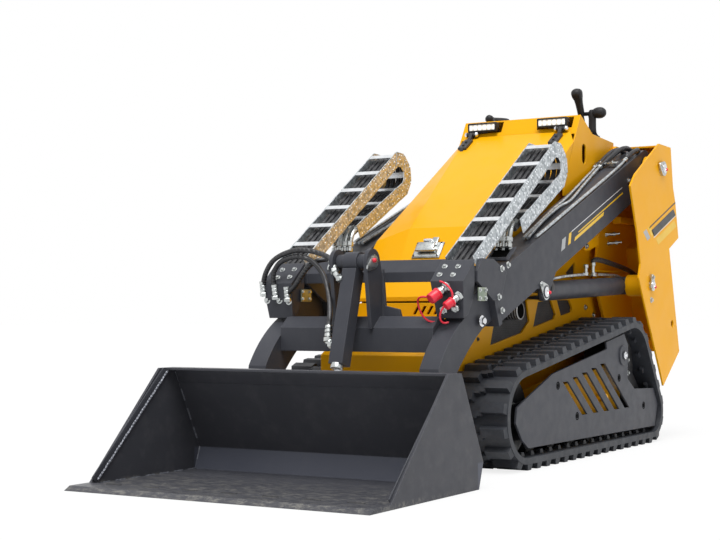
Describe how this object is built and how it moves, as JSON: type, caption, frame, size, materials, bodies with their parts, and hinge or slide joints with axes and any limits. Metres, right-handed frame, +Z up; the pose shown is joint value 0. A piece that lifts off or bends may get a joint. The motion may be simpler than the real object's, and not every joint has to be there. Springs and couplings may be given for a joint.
{
  "type": "compact stand-on track loader with telescopic arm and bucket",
  "caption": "Compact stand-on track loader with rubber tracks, a telescopic lift arm with cable chains, an opening hood and a tilting bucket.",
  "frame": {"origin": "on the ground, at the middle of the overall length and width", "axes": "+X forward towards the bucket's cutting edge, +Y to the machine's left, +Z up"},
  "size_m": [2.995, 1.12, 1.5],
  "materials": {
    "yellow_paint": "gloss powder coat",
    "grey_paint": "satin dark grey powder coat",
    "black_paint": "satin black",
    "rubber": "moulded black rubber",
    "zinc": "zinc plated steel",
    "galvanised": "spangled galvanised steel",
    "chrome": "hard chrome rod",
    "cast_grey": "cast iron",
    "black_plastic": "moulded plastic",
    "lamp_glass": "clear lens",
    "red_cap": "red rubber cap",
    "pad_vinyl": "black padded vinyl"
  },
  "bodies": {
    "chassis": {"hull": "yellow_paint", "hull_grilles": "black_paint", "engine_block": "cast_grey", "exhaust_stub": "black_paint", "cowl": "yellow_paint", "console": "black_plastic", "drive_controls": "black_plastic", "rear_housing": "grey_paint", "thigh_pad": "pad_vinyl", "work_lamps": "lamp_glass", "hood_hinge_lugs": "black_paint", "tower_left": "yellow_paint", "tower_right": "yellow_paint", "tower_pins": "zinc", "track_left": "rubber", "track_right": "rubber", "track_frame_left": "black_paint", "track_frame_right": "black_paint", "track_guards": "grey_paint", "drive_sprockets": "black_paint", "track_idlers": "black_paint", "track_rollers": "black_paint"},
    "hood": {"hood": "yellow_paint", "hood_hinges": "black_paint"},
    "platform": {"platform": "grey_paint"},
    "arm": {"outer_boom_left": "grey_paint", "outer_boom_right": "grey_paint", "outer_cross_beam": "grey_paint", "cable_chain_left": "galvanised", "cable_chain_right": "galvanised"},
    "inner_arm": {"inner_boom_left": "grey_paint", "inner_boom_right": "grey_paint", "inner_cross_beam": "grey_paint", "coupler_block_left": "grey_paint", "coupler_block_right": "grey_paint"},
    "bucket": {"bucket": "grey_paint", "attach_frame": "grey_paint"},
    "tilt_barrel": {"tilt_barrel": "grey_paint"},
    "tilt_rod": {"tilt_rod": "chrome"},
    "lift_barrel_left": {"lift_barrel_left": "grey_paint"},
    "lift_barrel_right": {"lift_barrel_right": "grey_paint"},
    "lift_rod_left": {"lift_rod_left": "chrome"},
    "lift_rod_right": {"lift_rod_right": "chrome"}
  },
  "joints": [
    {"name": "hood_hinge", "type": "hinge", "parent": "chassis", "child": "hood", "pos_m": [-0.6135, 0, 1.294], "axis": [0, -1, 0], "range_deg": [0, 65]},
    {"name": "platform_hinge", "type": "hinge", "parent": "chassis", "child": "platform", "pos_m": [-1.1475, 0, 0.197], "axis": [0, 1, 0], "range_deg": [0, 82]},
    {"name": "arm_lift", "type": "hinge", "parent": "chassis", "child": "arm", "pos_m": [-1.0575, 0, 1.149], "axis": [0, -1, 0], "range_deg": [0, 60]},
    {"name": "arm_telescope", "type": "slide", "parent": "arm", "child": "inner_arm", "axis": [0.9323, 0, -0.3616], "range_m": [0, 0.55], "deforming": ["cable_chain_left", "cable_chain_right"]},
    {"name": "bucket_tilt", "type": "hinge", "parent": "inner_arm", "child": "bucket", "pos_m": [0.7455, 0, 0.128], "axis": [0, 1, 0], "range_deg": [-20, 70]},
    {"name": "tilt_barrel_pivot", "type": "hinge", "parent": "inner_arm", "child": "tilt_barrel", "pos_m": [0.6655, 0, 0.72501], "axis": [0, 1, 0], "range_deg": [-10, 10]},
    {"name": "tilt_rod_slide", "type": "slide", "parent": "tilt_barrel", "child": "tilt_rod", "axis": [0.2761, 0, -0.9611], "range_m": [-0.06, 0.18]},
    {"name": "lift_barrel_pivot_left", "type": "hinge", "parent": "chassis", "child": "lift_barrel_left", "pos_m": [-0.9135, 0.342, 0.653], "axis": [0, -1, 0], "range_deg": [0, 60]},
    {"name": "lift_rod_slide_left", "type": "slide", "parent": "lift_barrel_left", "child": "lift_rod_left", "axis": [0.9994, 0, -0.0347], "range_m": [0, 0.53]},
    {"name": "lift_barrel_pivot_right", "type": "hinge", "parent": "chassis", "child": "lift_barrel_right", "pos_m": [-0.9135, -0.342, 0.653], "axis": [0, -1, 0], "range_deg": [0, 60]},
    {"name": "lift_rod_slide_right", "type": "slide", "parent": "lift_barrel_right", "child": "lift_rod_right", "axis": [0.9994, 0, -0.0347], "range_m": [0, 0.53]}
  ],
  "couplings": [
    {"joint": "tilt_barrel_pivot", "follows": "bucket_tilt", "ratio": -0.063121},
    {"joint": "tilt_rod_slide", "follows": "bucket_tilt", "m_per_rad": 0.13072},
    {"joint": "lift_barrel_pivot_left", "follows": "arm_lift", "ratio": 0.92781},
    {"joint": "lift_rod_slide_left", "follows": "arm_lift", "m_per_rad": 0.48656},
    {"joint": "lift_barrel_pivot_right", "follows": "arm_lift", "ratio": 0.92781},
    {"joint": "lift_rod_slide_right", "follows": "arm_lift", "m_per_rad": 0.48656}
  ]
}
